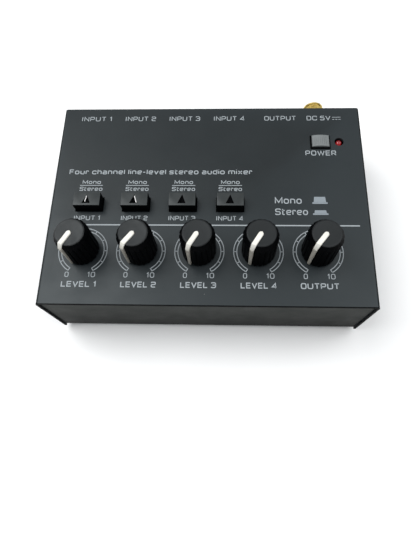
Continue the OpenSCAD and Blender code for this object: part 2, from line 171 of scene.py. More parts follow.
class Look:
    """A procedural material: a Principled shader and the noise that breaks up its finish."""

    def __init__(self, name, color, roughness, **sockets):
        self.material = bpy.data.materials.new(name)
        LOOKS[name] = self.material
        self.material.use_nodes = True
        self.tree = self.material.node_tree
        self.shader = self.tree.nodes["Principled BSDF"]
        self.shader.inputs["Base Color"].default_value = (*color, 1)
        self.shader.inputs["Roughness"].default_value = roughness
        for socket, value in sockets.items():
            self.shader.inputs[socket.replace("_", " ")].default_value = value
        self.place = self.node("ShaderNodeTexCoord").outputs["Object"]
        self.plain = color
        self.color = None
        self.relief_normal = None

    def node(self, kind, **inputs):
        made = self.tree.nodes.new(kind)
        for socket, value in inputs.items():
            made.inputs[socket.replace("_", " ")].default_value = value
        return made

    def noise(self, size, detail=3.0, stretch=(1, 1, 1), rough=0.55):
        """Noise whose features are about size millimetres across, drawn out by stretch."""
        mapping = self.node("ShaderNodeMapping", Scale=[1 / (size * MM * s) for s in stretch])
        texture = self.node("ShaderNodeTexNoise", Scale=1.0, Detail=detail, Roughness=rough)
        self.tree.links.new(self.place, mapping.inputs["Vector"])
        self.tree.links.new(mapping.outputs["Vector"], texture.inputs["Vector"])
        return texture.outputs["Fac"]

    def specks(self, spacing, radius):
        """Small round specks, radius across, one in each cell of that spacing."""
        texture = self.node("ShaderNodeTexVoronoi", Scale=1 / (spacing * MM), Randomness=1.0)
        self.tree.links.new(self.place, texture.inputs["Vector"])
        return self.ramp(texture.outputs["Distance"], radius / spacing, 0.4 * radius / spacing)

    def worn_edges(self, start=0.53, full=0.6):
        """1 on convex edges and 0 elsewhere."""
        return self.ramp(self.node("ShaderNodeNewGeometry").outputs["Pointiness"], start, full)

    def ramp(self, value, low, high, to_low=0.0, to_high=1.0):
        """Value mapped from low...high to to_low...to_high, clamped."""
        mapped = self.node("ShaderNodeMapRange", From_Min=low, From_Max=high, To_Min=to_low, To_Max=to_high)
        self.tree.links.new(value, mapped.inputs["Value"])
        return mapped.outputs["Result"]

    def along(self, axis, start, end):
        """0 at one place along an axis and 1 at another, in millimetres, and held beyond them."""
        axes = self.node("ShaderNodeSeparateXYZ")
        self.tree.links.new(self.place, axes.inputs["Vector"])
        return self.ramp(axes.outputs[axis], start * MM, end * MM)

    def tint(self, factor, color):
        """Lays a colour over what is there, by a factor."""
        mix = self.tree.nodes.new("ShaderNodeMix")
        mix.data_type = "RGBA"
        base = self.shader.inputs["Base Color"]
        if self.color is None:
            mix.inputs[6].default_value = base.default_value[:]
        else:
            self.tree.links.new(self.color, mix.inputs[6])
        mix.inputs[7].default_value = (*color, 1)
        self.tree.links.new(factor, mix.inputs[0])
        self.color = mix.outputs[2]
        self.tree.links.new(self.color, base)

    def mottle(self, size, detail, low, high, shade, most=1.0):
        """Lays the look's own colour, times shade, over the patches of a noise from low to high."""
        self.tint(self.ramp(self.noise(size, detail), low, high, 0, most), scaled(self.plain, shade))

    def polish(self, factor, low, high):
        """Roughness that runs from low to high with a factor."""
        self.tree.links.new(self.ramp(factor, 0.3, 0.7, low, high), self.shader.inputs["Roughness"])

    def relief(self, height, depth):
        """Bumps of about that depth in millimetres, on top of any that are there."""
        bump = self.node("ShaderNodeBump", Distance=depth * MM)
        self.tree.links.new(height, bump.inputs["Height"])
        if self.relief_normal:
            self.tree.links.new(self.relief_normal, bump.inputs["Normal"])
        self.relief_normal = bump.outputs["Normal"]
        self.tree.links.new(self.relief_normal, self.shader.inputs["Normal"])


def scaled(color, factor):
    return tuple(min(1.0, channel * factor) for channel in color)


def paint_look(name, color, roughness, shine, cast=(1, 1, 1)):
    """Satin powder coat: fine orange peel, faint clouding, dust and slightly rubbed edges."""
    look = Look(name, color, roughness, Specular_IOR_Level=shine, Specular_Tint=(*cast, 1))
    look.mottle(38, 2, 0.35, 0.7, 1.16)
    look.mottle(0.5, 2, 0.56, 0.72, 1.5, 0.6)
    look.mottle(6, 4, 0.62, 0.8, 0.8, 0.3)
    look.tint(look.worn_edges(), scaled(color, 1.9))
    look.tint(look.specks(17, 0.2), (0.16, 0.165, 0.165))
    look.polish(look.noise(12, 5), roughness - 0.05, roughness + 0.07)
    look.relief(look.noise(0.42, 2), 0.012)
    look.relief(look.noise(3.5, 2), 0.02)
    return look


def chassis_look():
    """The chassis's duller paint, with painted shade that darkens it a little towards the floor."""
    color = (0.0165, 0.0188, 0.0170)
    look = paint_look("chassis_paint", color, 0.58, 0.1)
    low, high = span("bottom_chassis")
    # Painted shade: the paint darkens from the chassis's top down to its bottom edge.
    look.tint(look.along("Z", high.z, low.z), scaled(color, 0.3))


def moulded_look(name, color, roughness, grain=0.25, depth=0.008, wear=1.7, dust=0.12, **sockets):
    """Moulded plastic: spark-eroded grain, a slight cloud in its gloss and rubbed edges."""
    look = Look(name, color, roughness, **sockets)
    look.mottle(5, 3, 0.35, 0.7, 1.2)
    look.mottle(0.3, 2, 0.58, 0.75, 1.4, 0.5)
    look.tint(look.worn_edges(), scaled(color, wear))
    look.tint(look.specks(6.5, 0.1), (dust, dust, dust))
    look.polish(look.noise(2.5, 4), roughness - 0.06, roughness + 0.08)
    look.relief(look.noise(grain, 2), depth)
    return look


def shaded_side_look(name):
    """Black plastic of a knob's or a button's sides, which gives back little light: the shaded copy of the
    plastic, darker and duller than the lit copy on the face, as painted shade.
    """
    moulded_look(name, (0.0005, 0.0007, 0.001), 0.5, dust=0.02, Specular_IOR_Level=0.03)


def satin_look(name, color):
    """Satin black plastic of a knob's or a button's face: the lit copy of the plastic whose sides get the shaded
    copy.
    """
    moulded_look(name, color, 0.4, Specular_IOR_Level=0.34, Specular_Tint=(0.94, 0.99, 1.0, 1))


def pointer_look():
    """Ivory plastic of the pointers, with painted shade that greys it down the knob's side."""
    look = moulded_look(
        "pointer_plastic", (0.66, 0.65, 0.6), 0.42, wear=1.05, dust=0.4,
        Subsurface_Weight=0.15, Subsurface_Radius=(0.001, 0.0009, 0.0007),
    )
    top = span("knob_pointer_1")[1].z
    # Painted shade: the pointer greys from just under the knob's face down its side.
    look.tint(look.along("Z", top - 0.4, top - 3.6), (0.34, 0.32, 0.28))


def metal_look(name, color, roughness, stretch=(1, 1, 1), size=0.4, depth=0.004):
    """Bare or plated metal: drawn or turned lines, a faint tarnish and bright edges."""
    look = Look(name, color, roughness, Metallic=1.0)
    look.mottle(4, 4, 0.45, 0.75, 0.72, 0.7)
    look.tint(look.worn_edges(), scaled(color, 1.25))
    look.polish(look.noise(size, 3, stretch), roughness - 0.06, roughness + 0.12)
    look.relief(look.noise(size, 2, stretch), depth)


def board_look():
    """Green solder mask with its tracks showing through and tinned pads."""
    look = Look("board_laminate", (0.015, 0.11, 0.045), 0.3, Coat_Weight=0.4, Coat_Roughness=0.12)
    tracks = look.tree.nodes.new("ShaderNodeTexBrick")
    tracks.inputs["Scale"].default_value = 1 / (9 * MM)
    tracks.inputs["Mortar Size"].default_value = 0.035
    for brick in ("Color1", "Color2"):
        tracks.inputs[brick].default_value = (0, 0, 0, 1)
    tracks.inputs["Mortar"].default_value = (1, 1, 1, 1)
    look.tree.links.new(look.place, tracks.inputs["Vector"])
    look.mottle(14, 3, 0.4, 0.7, 1.3)
    look.tint(look.ramp(tracks.outputs["Color"], 0, 1, 0, 0.8), (0.03, 0.2, 0.08))
    look.tint(look.specks(3.2, 0.5), (0.62, 0.62, 0.6))
    look.polish(look.noise(3, 3), 0.24, 0.38)
    look.relief(tracks.outputs["Color"], 0.03)


def power_button_look():
    """Grey plastic of the power button, with painted shade that turns it dark down its sides."""
    look = moulded_look("power_button_plastic", (0.135, 0.147, 0.149), 0.45, wear=1.3)
    top = span("power_button")[1].z
    # Painted shade: the cap's sides go nearly black just below its top edge.
    look.tint(look.along("Z", top - 0.75, top - 1.15), (0.006, 0.007, 0.008))


def ink_look(name, color):
    """White screen print: a thin dry film that is slightly uneven."""
    look = Look(name, color, 0.6, Specular_IOR_Level=0.3)
    look.mottle(0.35, 3, 0.5, 0.8, 0.8, 0.7)
    look.polish(look.noise(1.2, 3), 0.48, 0.64)
    look.relief(look.noise(0.18, 2), 0.006)


def lens_look():
    """Tinted epoxy of the lamp, with a faint flow line."""
    look = Look(
        "lamp_lens", (0.30, 0.006, 0.012), 0.14, IOR=1.53, Transmission_Weight=0.5, Coat_Weight=0.3
    )
    look.mottle(0.8, 3, 0.45, 0.75, 0.55, 0.6)
    look.polish(look.noise(0.5, 3), 0.1, 0.2)
    look.relief(look.noise(0.6, 2), 0.004)


def glow_look():
    """The lit cup inside the lamp."""
    look = Look(
        "lamp_glow", (0.9, 0.25, 0.2), 0.4, Emission_Color=(1.0, 0.12, 0.08, 1), Emission_Strength=0.35
    )
    look.tint(look.ramp(look.noise(0.4, 3), 0.4, 0.7), (1.0, 0.45, 0.35))
    look.relief(look.noise(0.3, 2), 0.01)


def make_looks():
    """Every look, the CAD nodes' first and then those of printed or shaded surfaces."""
    paint_look("cover_paint", (0.0076, 0.0100, 0.0114), 0.4, 0.33, (0.93, 0.99, 1.0))
    chassis_look()
    metal_look("black_screw", (0.06, 0.06, 0.065), 0.34)
    moulded_look("foot_rubber", (0.014, 0.014, 0.014), 0.8, grain=0.4, depth=0.02)
    board_look()
    metal_look("pillar_brass", (0.70, 0.52, 0.22), 0.3, (1, 1, 0.15))
    metal_look("zinc_steel", (0.60, 0.61, 0.62), 0.28)
    moulded_look("chip_plastic", (0.012, 0.012, 0.013), 0.62)
    moulded_look("capacitor_sleeve", (0.012, 0.018, 0.06), 0.3)
    metal_look("control_body", (0.42, 0.43, 0.44), 0.4, (1, 1, 3))
    metal_look("shaft_metal", (0.70, 0.71, 0.73), 0.3, (4, 4, 0.3))
    shaded_side_look("knob_plastic")
    pointer_look()
    moulded_look("switch_plastic", (0.012, 0.012, 0.013), 0.5)
    moulded_look("plunger_plastic", (0.62, 0.60, 0.55), 0.42, wear=1.1, dust=0.3)
    shaded_side_look("button_plastic")
    power_button_look()
    metal_look("spring_steel", (0.62, 0.62, 0.63), 0.24)
    lens_look()
    moulded_look("jack_plastic", (0.012, 0.012, 0.013), 0.36)
    metal_look("contact_metal", (0.74, 0.68, 0.50), 0.26)
    metal_look("collar_brass", (0.74, 0.55, 0.17), 0.3, (1, 5, 1))
    ink_look("legend_ink", (0.328, 0.36, 0.38))
    ink_look("solid_ink", (0.225, 0.258, 0.285))
    # Faces of the knobs and the mono/stereo caps: lit copies of the black plastic on their sides.
    satin_look("knob_lit_face", (0.0036, 0.0045, 0.0052))
    satin_look("button_lit_face", (0.021, 0.024, 0.0245))
    # Glossy copy of the caps' black plastic, on one leg of the first two marks only, to put a glint there.
    moulded_look(
        "mark_gloss", (0.003, 0.0033, 0.0033), 0.12, depth=0.001, dust=0.02, IOR=1.8, Specular_IOR_Level=1.0
    )
    # Near-black, dull paint that paints shade over the cover's cut front edge and the outside of its folds.
    paint_look("painted_edge_shade", (0.0014, 0.0017, 0.0018), 0.6, 0.03)
    glow_look()


# ---- CAD nodes that stay ----

EDGE_ROUNDING = {
    "cover_screws": 0.12,
    "rubber_feet": 0.5,
    "jack_nuts": 0.18,
    "jack_washers": 0.08,
    "input_jack": 0.15,
    "output_jack": 0.15,
    "dc_inlet": 0.15,
    "op_amps": 0.08,
    "capacitors": 0.3,
}
NODE_WELD = 0.001
ROUNDED_FROM = 50


def soften(node, width):
    """Rounds a CAD node's edges without touching its mesh."""
    weld = node.modifiers.new("join", "WELD")
    weld.merge_threshold = NODE_WELD * MM
    bevel = node.modifiers.new("round", "BEVEL")
    bevel.width = width * MM
    bevel.segments = 2
    bevel.limit_method = "ANGLE"
    bevel.angle_limit = math.radians(ROUNDED_FROM)
    bevel.harden_normals = False
    weighted = node.modifiers.new("shade", "WEIGHTED_NORMAL")
    weighted.weight = 80


def dress_nodes():
    """Gives every CAD node its procedural material and rounds the edges that show."""
    for part in frame["record"]["subparts"]:
        node = nodes[part["node"]]
        node.data.materials.clear()
        node.data.materials.append(LOOKS[part["material_slot"]])
        width = EDGE_ROUNDING.get(part["node"].rstrip("_0123456789"))
        if width:
            soften(node, width)


# ---- Painted shade along the cover's edges ----

SHEET_T = 1.0
FOLD_R = 1.6
EDGE_SKIN = 0.03
EDGE_WRAP = 0.3
FOLD_STEPS = 8
# Part of each fold that is shaded, in degrees up from the horizontal
FOLD_SHADE = (-12, 58)


def painted_edge_shade():
    """Painted shade on the cover sheet's cut front edge, down one side, over the top and down the other: a
    near-black skin over the real edge that stands in for the shadow line there.
    """
    low, high = span("top_cover")
    half = high.x - SHEET_T / 2
    fold_r = FOLD_R - SHEET_T / 2
    hub = Vector((half - fold_r, high.z - SHEET_T / 2 - fold_r))
    turns = [math.pi / 2 * k / FOLD_STEPS for k in range(FOLD_STEPS + 1)]
    right = [(Vector((half, low.z)), Vector((1, 0)))]
    for a in turns:
        out = Vector((math.cos(a), math.sin(a)))
        right.append((hub + out * fold_r, out))
    left = [(Vector((-at.x, at.y)), Vector((-out.x, out.y))) for at, out in reversed(right)]
    reach = SHEET_T / 2 + EDGE_SKIN
    sections = []
    for middle_at, out in right + left:
        outer, inner = middle_at + out * reach, middle_at - out * reach
        front, back = low.y - EDGE_SKIN, low.y + EDGE_WRAP
        corners = ((outer, front), (outer, back), (inner, back), (inner, front))
        sections.append([Vector((at.x, y, at.y)) for at, y in corners])
    bm = bmesh.new()
    swept(bm, sections)
    finish_mesh("cover_cut_edge_shade", bm, "housing", "cover_paint", look="painted_edge_shade")


def fold_shades():
    """Painted shade: a near-black skin round the outside of the cover's two folds."""
    low, high = span("top_cover")
    first, last = (math.radians(a) for a in FOLD_SHADE)
    turns = [first + (last - first) * k / FOLD_STEPS for k in range(FOLD_STEPS + 1)]
    bm = bmesh.new()
    for side in (-1, 1):
        hub = Vector((side * (high.x - FOLD_R), high.z - FOLD_R))
        outline = [
            hub + Vector((side * math.cos(a), math.sin(a))) * (FOLD_R + skin)
            for skin, angles in ((EDGE_SKIN, turns), (-EDGE_SKIN, reversed(turns)))
            for a in angles
        ]
        swept(bm, [[Vector((at.x, y, at.y)) for at in outline] for y in (low.y + EDGE_WRAP, high.y)])
    finish_mesh("cover_fold_shades", bm, "housing", "cover_paint", 30, "painted_edge_shade")


# ---- Level controls ----

FLUTES = 20
FLUTE_SHARE = 0.52
FLUTE_DEPTH = 0.42
KNOB_COLUMNS = FLUTES * 12
FACE_R = 5.65
FACE_DEPTH = 0.3
RIM_W = 0.14
RIM_DEPTH = 0.12
SHOULDER_H = 2.2
TAPER = 0.1


def flute(angle):
    """Depth of the knob's grooves at an angle from its pointer."""
    phase = (angle * FLUTES / (2 * math.pi)) % 1.0
    off = abs(phase - 0.5) * 2 / FLUTE_SHARE
    return FLUTE_DEPTH * math.cos(off * math.pi / 2) ** 1.5 if off < 1 else 0.0


def knob_profile(base_r, height):
    """Half section of a knob: hub, skirt room, fluted side, shoulder and dished face."""
    top_r = base_r - TAPER
    knee = height - SHOULDER_H
    side = [(base_r - TAPER * z / knee, z, 1.0) for z in (0.3, 2.5, 5, 7.5, 10, 12, knee - 0.5)]
    shoulder = [
        (top_r, knee - 0.3, 0.9),
        (top_r - 0.04, knee, 0.7),
        (top_r - 0.19, knee + 0.35, 0.4),
        (top_r - 0.47, knee + 0.8, 0.15),
        (FACE_R + 0.5, height - 0.85, 0.0),
        (FACE_R + 0.2, height - 0.3, 0.0),
        (FACE_R + RIM_W / 2, height - RIM_DEPTH, 0.0),
        (FACE_R - RIM_W / 2, height - RIM_DEPTH, 0.0),
        (FACE_R - RIM_W, height - 0.03, 0.0),
        (FACE_R - RIM_W - 0.12, height, 0.0),
    ]
    face = [(FACE_R - 0.6, height - 0.02, 0.0), (4.2, height - 0.07, 0.0), (2, height - 0.11, 0.0)]
    hub = [(0, 12, 0), (3.1, 12, 0), (3.1, 0.2, 0), (3.3, 0, 0), (4.2, 0, 0), (4.4, 0.2, 0), (4.4, 8, 0)]
    skirt = [(5.4, 8, 0), (5.5, 0.2, 0), (5.7, 0, 0), (base_r - 0.3, 0, 0.6)]
    return hub + skirt + side + shoulder + face + [(0, height - 0.12, 0)]


POINTER_W = 2.0
POINTER_KNEE_W = 1.7
POINTER_FOOT_W = 1.3
POINTER_PROUD = 0.45
POINTER_START = 0.55
POINTER_ROOT = 0.8
POINTER_FOOT_Z = 0.6
POINTER_WELD = 0.0005
BEND_STEPS = 5
BEND_ROOM = 0.45


def tilted(degrees):
    """Direction in the x-z plane that leans up from +X by an angle."""
    return Vector((math.cos(math.radians(degrees)), 0, math.sin(math.radians(degrees))))


def bend(r, z, tilt_from, tilt_to):
    """Places of a tight bend: the outside fans around it and the root stays at its mitre."""
    half_turn = math.radians(tilt_from - tilt_to) / 2
    root = tilted((tilt_from + tilt_to) / 2) * (-POINTER_ROOT / math.cos(half_turn))
    return [(r, z, tilt_from + (tilt_to - tilt_from) * k / BEND_STEPS, root) for k in range(BEND_STEPS + 1)]


def straight(places, tilt):
    return [(r, z, tilt, tilted(tilt) * -POINTER_ROOT) for r, z in places]


def pointer_line(base_r, height, foot):
    """Places along the knob's surface, from its face to its foot, as (radius, height, tilt, root)."""
    inner = POINTER_START - POINTER_W / 2
    side_r = base_r - TAPER
    knee = height - SHOULDER_H
    slope = math.degrees(math.atan2(side_r - FACE_R, SHOULDER_H))
    nose = [inner + POINTER_W / 2 * (1 - math.cos(math.pi / 2 * k / 8)) for k in range(9)]
    flat_end = FACE_R - BEND_ROOM
    flat = [POINTER_START + (flat_end - POINTER_START) * k / 4 for k in range(1, 5)]
    down = [knee + (foot - knee) * k / 9 for k in range(1, 10)]
    line = straight([(x, height) for x in nose + flat], 90.0)
    line += bend(FACE_R, height, 90.0, slope)
    line += bend(side_r, knee, slope, 0.0)
    return line + straight([(base_r - TAPER * z / knee, z) for z in down], 0.0)


def pointer_half_width(r, z, height, foot):
    """Half width of the pointer: round at its inner end, narrower down the side."""
    from_start = POINTER_START - r
    if from_start > 0:
        return math.sqrt(max(0.04, (POINTER_W / 2) ** 2 - from_start**2))
    knee = height - SHOULDER_H
    if z > knee:
        return (POINTER_W + (POINTER_KNEE_W - POINTER_W) * (height - z) / SHOULDER_H) / 2
    return (POINTER_KNEE_W + (POINTER_FOOT_W - POINTER_KNEE_W) * (knee - z) / (knee - foot)) / 2


def pointer_sections(base_r, height, foot):
    """Sections of the pointer: a flat bar with rounded shoulders and a round inner end."""
    sections = []
    for r, z, tilt, root in pointer_line(base_r, height, foot):
        half = pointer_half_width(r, z, height, foot)
        ease = min(0.32, half * 0.8)
        place, out = Vector((r, 0, z)), tilted(tilt)
        edge = [(-half, POINTER_PROUD - ease)]
        for k in range(1, 4):
            a = math.pi / 2 * k / 3
            edge.append((-half + ease * (1 - math.cos(a)), POINTER_PROUD - ease * (1 - math.sin(a))))
        edge += [(-across, lift) for across, lift in reversed(edge)]
        section = [place + root + Vector((0, -half, 0))]
        section += [place + out * lift + Vector((0, across, 0)) for across, lift in edge]
        section.append(place + root + Vector((0, half, 0)))
        sections.append(section)
    return sections


def level_controls():
    """Fluted knobs and their white pointers, turned to where the controls rest."""
    for i, body in zip(LEVELS, LEVEL_BODIES):
        low, high = span(f"level_knob_{i}")
        centre = middle(f"level_knob_{i}")
        base_r = max(high.x - low.x, high.y - low.y) / 2
        height = high.z - low.z
        angle = math.radians(ZERO_ANGLE - TURNED_UP[body])
        turn = Matrix.Translation((centre.x, centre.y, low.z)) @ Matrix.Rotation(angle, 4, "Z")
        bm = bmesh.new()
        turned(bm, knob_profile(base_r, height), KNOB_COLUMNS, turn, flute)
        knob = finish_mesh(f"fluted_knob_{i}", bm, body, "knob_plastic", 40)
        # Painted light and shade: the face takes the lit copy of the plastic, the rest of the knob the shaded
        # copy.
        top_look(knob, "knob_lit_face", high.z - FACE_DEPTH, 0.9)
        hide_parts(f"level_knob_{i}")
        bm = bmesh.new()
        swept(bm, pointer_sections(base_r, height, POINTER_FOOT_Z))
        bmesh.ops.remove_doubles(bm, verts=bm.verts, dist=POINTER_WELD)
        bmesh.ops.transform(bm, matrix=turn, verts=bm.verts)
        pointer = finish_mesh(f"pointer_{i}", bm, body, "pointer_plastic", 60)
        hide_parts(f"knob_pointer_{i}")


# ---- Push switches ----

SPRING_WIRE_R = 0.2
SPRING_TURNS = 5
COIL_STEPS = 30
COIL_SIDES = 10
COIL_CLOSING = 0.75


def coil(bm, centre, low, high, turns, radius, wire):
    """Compression spring whose end coils close up, as one closed tube."""
    total = turns * COIL_STEPS
    sections = []
    for k in range(total + 1):
        share = k / total
        ease = share - math.sin(2 * math.pi * share) / (2 * math.pi) * COIL_CLOSING
        z = low + wire + (high - low - 2 * wire) * ease
        turn = 2 * math.pi * k / COIL_STEPS
        out = Vector((math.cos(turn), math.sin(turn), 0))
        ring = []
        for s in range(COIL_SIDES):
            a = 2 * math.pi * s / COIL_SIDES
            ring.append(centre + out * (radius + wire * math.cos(a)) + Vector((0, 0, z + wire * math.sin(a))))
        sections.append(ring)
    swept(bm, sections)


def spring(node, name):
    """Return spring under a button, built at its rest length with its own mesh."""
    low, high = span(node)
    centre = middle(node)
    radius = (high.x - low.x) / 2 - SPRING_WIRE_R
    bm = bmesh.new()
    coil(bm, Vector((centre.x, centre.y, 0)), low.z, high.z, SPRING_TURNS, radius, SPRING_WIRE_R)
    piece = finish_mesh(name, bm, "housing", "spring_steel")
    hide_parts(node)
    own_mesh(piece)


def springs():
    for i in MONOS:
        spring(f"mono_spring_{i}", f"return_spring_{i}")
    spring("power_spring", "return_spring_power")


FLANGE_RIM = 1.0
FLANGE_H = 1.2
# Rings of a cap's bevel as (inset, height), then the corners of the mark about the cap's middle
CAP_BEVEL = [(0, -0.34), (0.09, -0.1), (0.3, 0)]
MARK = [(-2.0, -2.1), (1.6, -2.1), (0, 2.15)]
MARK_SINK = 0.45


def rectangle(centre, half_x, half_y):
    """Corners of a rectangle, counterclockwise from the front left."""
    signs = ((-1, -1), (1, -1), (1, 1), (-1, 1))
    return [(centre.x + across * half_x, centre.y + along * half_y) for across, along in signs]


def mono_caps():
    """Mono/stereo buttons: a flange under the cover and a bevelled cap with a sunk triangle."""
    for i in MONOS:
        low, high = span(f"mono_button_{i}")
        centre = middle(f"mono_button_{i}")
        half_x, half_y = (high.x - low.x) / 2 - FLANGE_RIM, (high.y - low.y) / 2 - FLANGE_RIM
        bm = bmesh.new()
        prism(bm, rectangle(centre, half_x + FLANGE_RIM, half_y + FLANGE_RIM), low.z, low.z + FLANGE_H)
        rings = [[bm.verts.new((x, y, low.z + FLANGE_H)) for x, y in rectangle(centre, half_x, half_y)]]
        for inset, lift in CAP_BEVEL:
            corners = rectangle(centre, half_x - inset, half_y - inset)
            rings.append([bm.verts.new((x, y, high.z + lift)) for x, y in corners])
        for first, second in zip(rings, rings[1:]):
            ring_faces(bm, first, second)
        bm.faces.new(rings[0])
        rim, bottom = (
            [bm.verts.new((centre.x + x, centre.y + y, high.z - sink)) for x, y in MARK]
            for sink in (0, MARK_SINK)
        )
        ring_faces(bm, rim, bottom)
        bm.faces.new(bottom)
        a, b, c, d = rings[-1]
        p, q, r = rim
        for corners in ((a, b, q), (a, q, p), (b, c, q), (c, r, q), (c, d, r), (d, p, r), (d, a, p)):
            bm.faces.new(corners)
        cap = finish_mesh(f"mono_cap_{i}", bm, f"mono_{i}_key", "button_plastic")
        # Painted light and shade: the top takes the lit copy of the plastic; the sides and the sunk triangle's
        # floor take the shaded copy.
        top_look(cap, "button_lit_face", high.z - MARK_SINK / 2, 0.6)
        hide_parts(f"mono_button_{i}")


LEG_HALF_W = 0.2
LEG_REACH = [(0.05, 1.35), (0.95, -1.6)]
LEG_ROOT = 0.05
LIT_SLOPE = (0.1, 0.19)
DULL_SLOPE = (0.0, -0.35)
# Side of the leg that catches the light, on the buttons that have one: a glossy, tilted lit copy that puts a glint
# on the first two caps only
LIT_LEG = {1: -1, 2: 1}


def leg(bm, centre, bottom, side, slope):
    """One leg of the arrowhead: a narrow block whose top slopes by that much in x and y."""
    ends = [Vector((side * x, y)) for x, y in LEG_REACH]
    across = (ends[1] - ends[0]).normalized()
    across = Vector((-across.y, across.x)) * LEG_HALF_W
    outline = [ends[0] - across, ends[0] + across, ends[1] + across, ends[1] - across]
    pivot = Vector((ends[1].x / 2, (ends[0].y + ends[1].y) / 2))
    tops = [MARK_SINK * 0.5 + Vector(slope).dot(corner - pivot) for corner in outline]
    rings = [
        [bm.verts.new((centre.x + x, centre.y + y, bottom + lift)) for (x, y), lift in zip(outline, lifts)]
        for lifts in ([-LEG_ROOT] * len(outline), tops)
    ]
    ring_faces(bm, *rings)
    bm.faces.new(rings[0])
    bm.faces.new(rings[1])


def mark_legs():
    """Two legs of an arrowhead in each cap's triangle, in the shaded copy of the cap's plastic; one of them is a
    glossy lit copy on the first two caps only, which gives them a glint.
    """
    for i in MONOS:
        centre = middle(f"mono_button_{i}")
        bottom = span(f"mono_button_{i}")[1].z - MARK_SINK
        lit = LIT_LEG.get(i)
        bm = bmesh.new()
        for side in (-1, 1):
            leg(bm, centre, bottom, side, LIT_SLOPE if side == lit else DULL_SLOPE)
        legs = finish_mesh(f"arrow_mark_{i}", bm, f"mono_{i}_key", "button_plastic", 5)
        legs.data.materials.append(LOOKS["mark_gloss"])
        for face in legs.data.polygons:
            side = 1 if face.center.x > centre.x * MM else -1
            if face.normal.z > 0.9 and side == lit:
                face.material_index = 1


POWER_RIBS = 9
RIB_DEPTH = 0.16
POWER_ROUND = 0.45
POWER_CROWN_R = 14.0
RIB_FADE = 0.3
# Extra places near the cap's edges, as shares of its half width
EDGE_SHARES = (0.965, 0.985)


def power_cap():
    """Power button: crowned from side to side, with fine ribs that run front to back."""
    low, high = span("power_button")
    centre = middle("power_button")
    half_x, half_y = (high.x - low.x) / 2 - FLANGE_RIM, (high.y - low.y) / 2 - FLANGE_RIM
    flange_top = low.z + FLANGE_H
    across, along = POWER_RIBS * 8, 14

    def surface(u, v):
        x, y = half_x * u, half_y * v
        sag = POWER_CROWN_R - math.sqrt(POWER_CROWN_R**2 - x * x)
        edge_x, edge_y = half_x - abs(x), half_y - abs(y)
        edge = min(edge_x, edge_y)
        ribbed = min(1.0, max(0.0, (edge - POWER_ROUND) / RIB_FADE))
        rib = RIB_DEPTH * (0.5 - 0.5 * math.cos(2 * math.pi * POWER_RIBS * (u + 1) / 2)) * ribbed
        inside = max(0.0, POWER_ROUND - edge)
        rounding = POWER_ROUND - math.sqrt(max(0.0, POWER_ROUND**2 - inside**2))
        return Vector((centre.x + x, centre.y + y, high.z - sag - rib - rounding))

    def shares(count):
        inner = [-1 + 2 * k / count for k in range(count + 1)]
        return sorted(set(inner) | {side * share for side in (-1, 1) for share in EDGE_SHARES})

    bm = bmesh.new()
    us, vs = shares(across), shares(along)
    grid = [[bm.verts.new(surface(u, v)) for v in vs] for u in us]
    for a, b in zip(grid, grid[1:]):
        for k in range(len(vs) - 1):
            bm.faces.new((a[k], b[k], b[k + 1], a[k + 1]))
    border = grid[0] + [row[-1] for row in grid[1:]] + grid[-1][-2::-1] + [row[0] for row in grid[-2:0:-1]]
    foot = [bm.verts.new((v.co.x, v.co.y, flange_top)) for v in border]
    ring_faces(bm, border, foot)
    bm.faces.new(foot)
    prism(bm, rectangle(centre, half_x + FLANGE_RIM, half_y + FLANGE_RIM), low.z, flange_top)
    piece = finish_mesh("ribbed_power_cap", bm, "power_key", "power_button_plastic", 45)
    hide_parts("power_button")


# ---- Lamp and collar ----

LENS_R = 1.5
LENS_RIM_R = 1.9
LENS_L = 4.2
WIRE_PITCH = 2.54


def power_lamp():
    """Clear red lens with its lit cup and the two wires to the board."""
    low, high = span("power_lamp")
    centre = middle("power_lamp")
    nose_z = high.z - LENS_R
    rim_z = nose_z - LENS_L
    rim_r = LENS_RIM_R
    turns = [math.pi / 2 * k / 10 for k in range(10)]
    dome = [(LENS_R * math.cos(a), nose_z + LENS_R * math.sin(a), 0) for a in turns]
    rim = [
        (0, rim_z, 0), (rim_r - 0.1, rim_z, 0), (rim_r, rim_z + 0.1, 0), (rim_r, rim_z + 0.9, 0),
        (rim_r - 0.1, rim_z + 1, 0), (LENS_R, rim_z + 1.05, 0),
    ]
    profile = rim + dome + [(0, high.z, 0)]
    place = Matrix.Translation((centre.x, centre.y, 0))
    bm = bmesh.new()
    turned(bm, profile, 48, place)
    lens = finish_mesh("lamp_lens_dome", bm, "housing", "lamp_lens")
    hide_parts("power_lamp")
    bm = bmesh.new()
    cup = [(0, nose_z - 1.5, 0), (0.4, nose_z - 1.5, 0), (0.75, nose_z - 0.2, 0), (0.7, nose_z - 0.1, 0),
           (0.35, nose_z - 0.5, 0), (0, nose_z - 0.45, 0)]
    turned(bm, cup, 32, place)
    finish_mesh("lamp_cup", bm, "housing", "lamp_lens", look="lamp_glow")
    bm = bmesh.new()
    for side in (-1, 1):
        lead = [(0, low.z, 0), (0.25, low.z, 0), (0.25, rim_z + 0.4, 0), (0, rim_z + 0.4, 0)]
        turned(bm, lead, 16, place @ Matrix.Translation((side * WIRE_PITCH / 2, 0, 0)))
    finish_mesh("lamp_wires", bm, "housing", "zinc_steel")


KNURLS = 42
KNURL_DEPTH = 0.22
COLLAR_BORE_R = 3.85


def knurl(angle):
    """Depth of the collar's straight knurl at an angle."""
    phase = (angle * KNURLS / (2 * math.pi)) % 1.0
    return KNURL_DEPTH * abs(2 * phase - 1)


def along_y(x, y, z):
    """Places something turned around +Z so that it points to the rear."""
    return Matrix.Translation((x, y, z)) @ Matrix.Rotation(-math.pi / 2, 4, "X")


